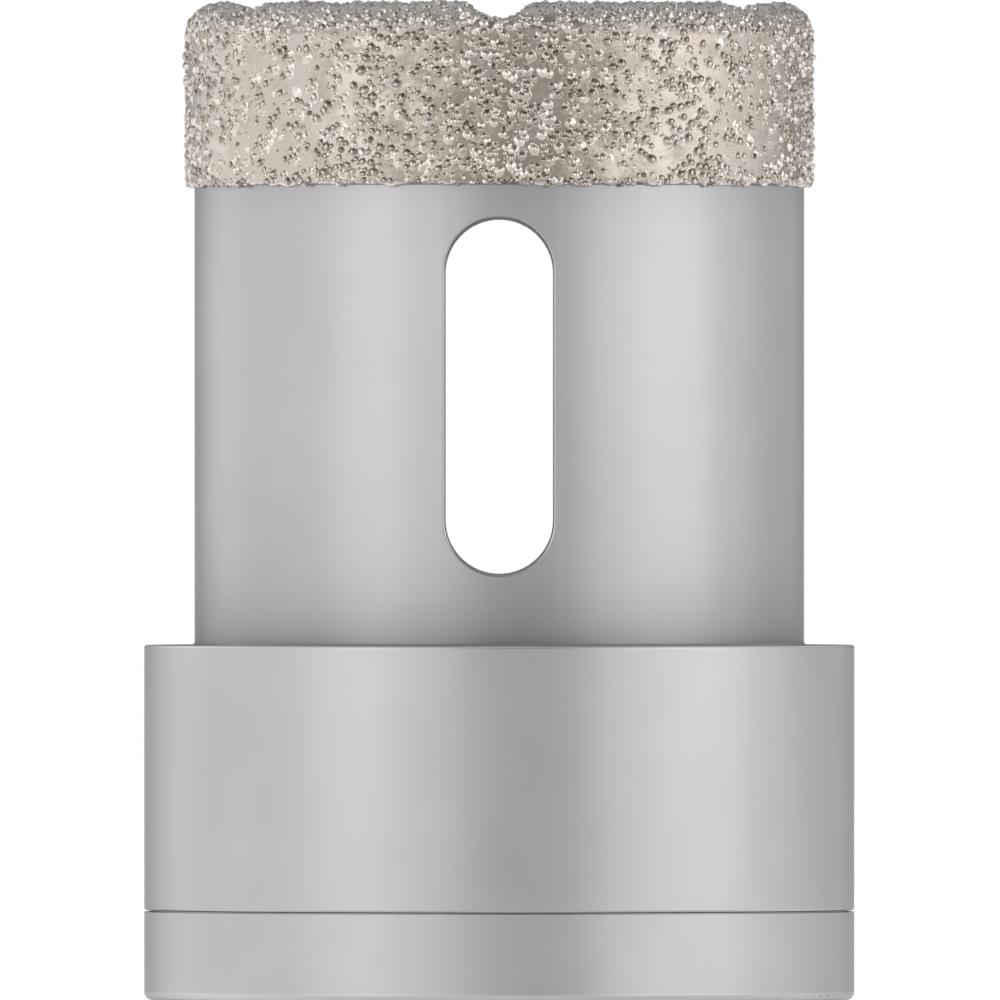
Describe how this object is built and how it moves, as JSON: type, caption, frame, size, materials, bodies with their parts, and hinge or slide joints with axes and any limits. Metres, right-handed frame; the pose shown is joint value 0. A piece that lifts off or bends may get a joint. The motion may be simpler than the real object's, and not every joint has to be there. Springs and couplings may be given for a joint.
{
  "type": "diamond core bit",
  "caption": "Hollow steel core bit with a notched diamond rim, long side slots and a wide hub with a cross-shaped quick-change seat.",
  "frame": {"origin": "centre of the flat seat face, on the bit's axis", "axes": "+Z along the axis from the seat face to the cutting rim; the two slots face +Y and -Y"},
  "size_m": [0.0396, 0.0396, 0.0554],
  "materials": {
    "satin_steel": "satin",
    "nickel_braze": "satin"
  },
  "bodies": {
    "root": {"mounting_plate": "satin_steel", "hub": "satin_steel", "core_tube": "satin_steel", "braze_seam": "satin_steel", "diamond_rim": "nickel_braze"}
  },
  "joints": []
}
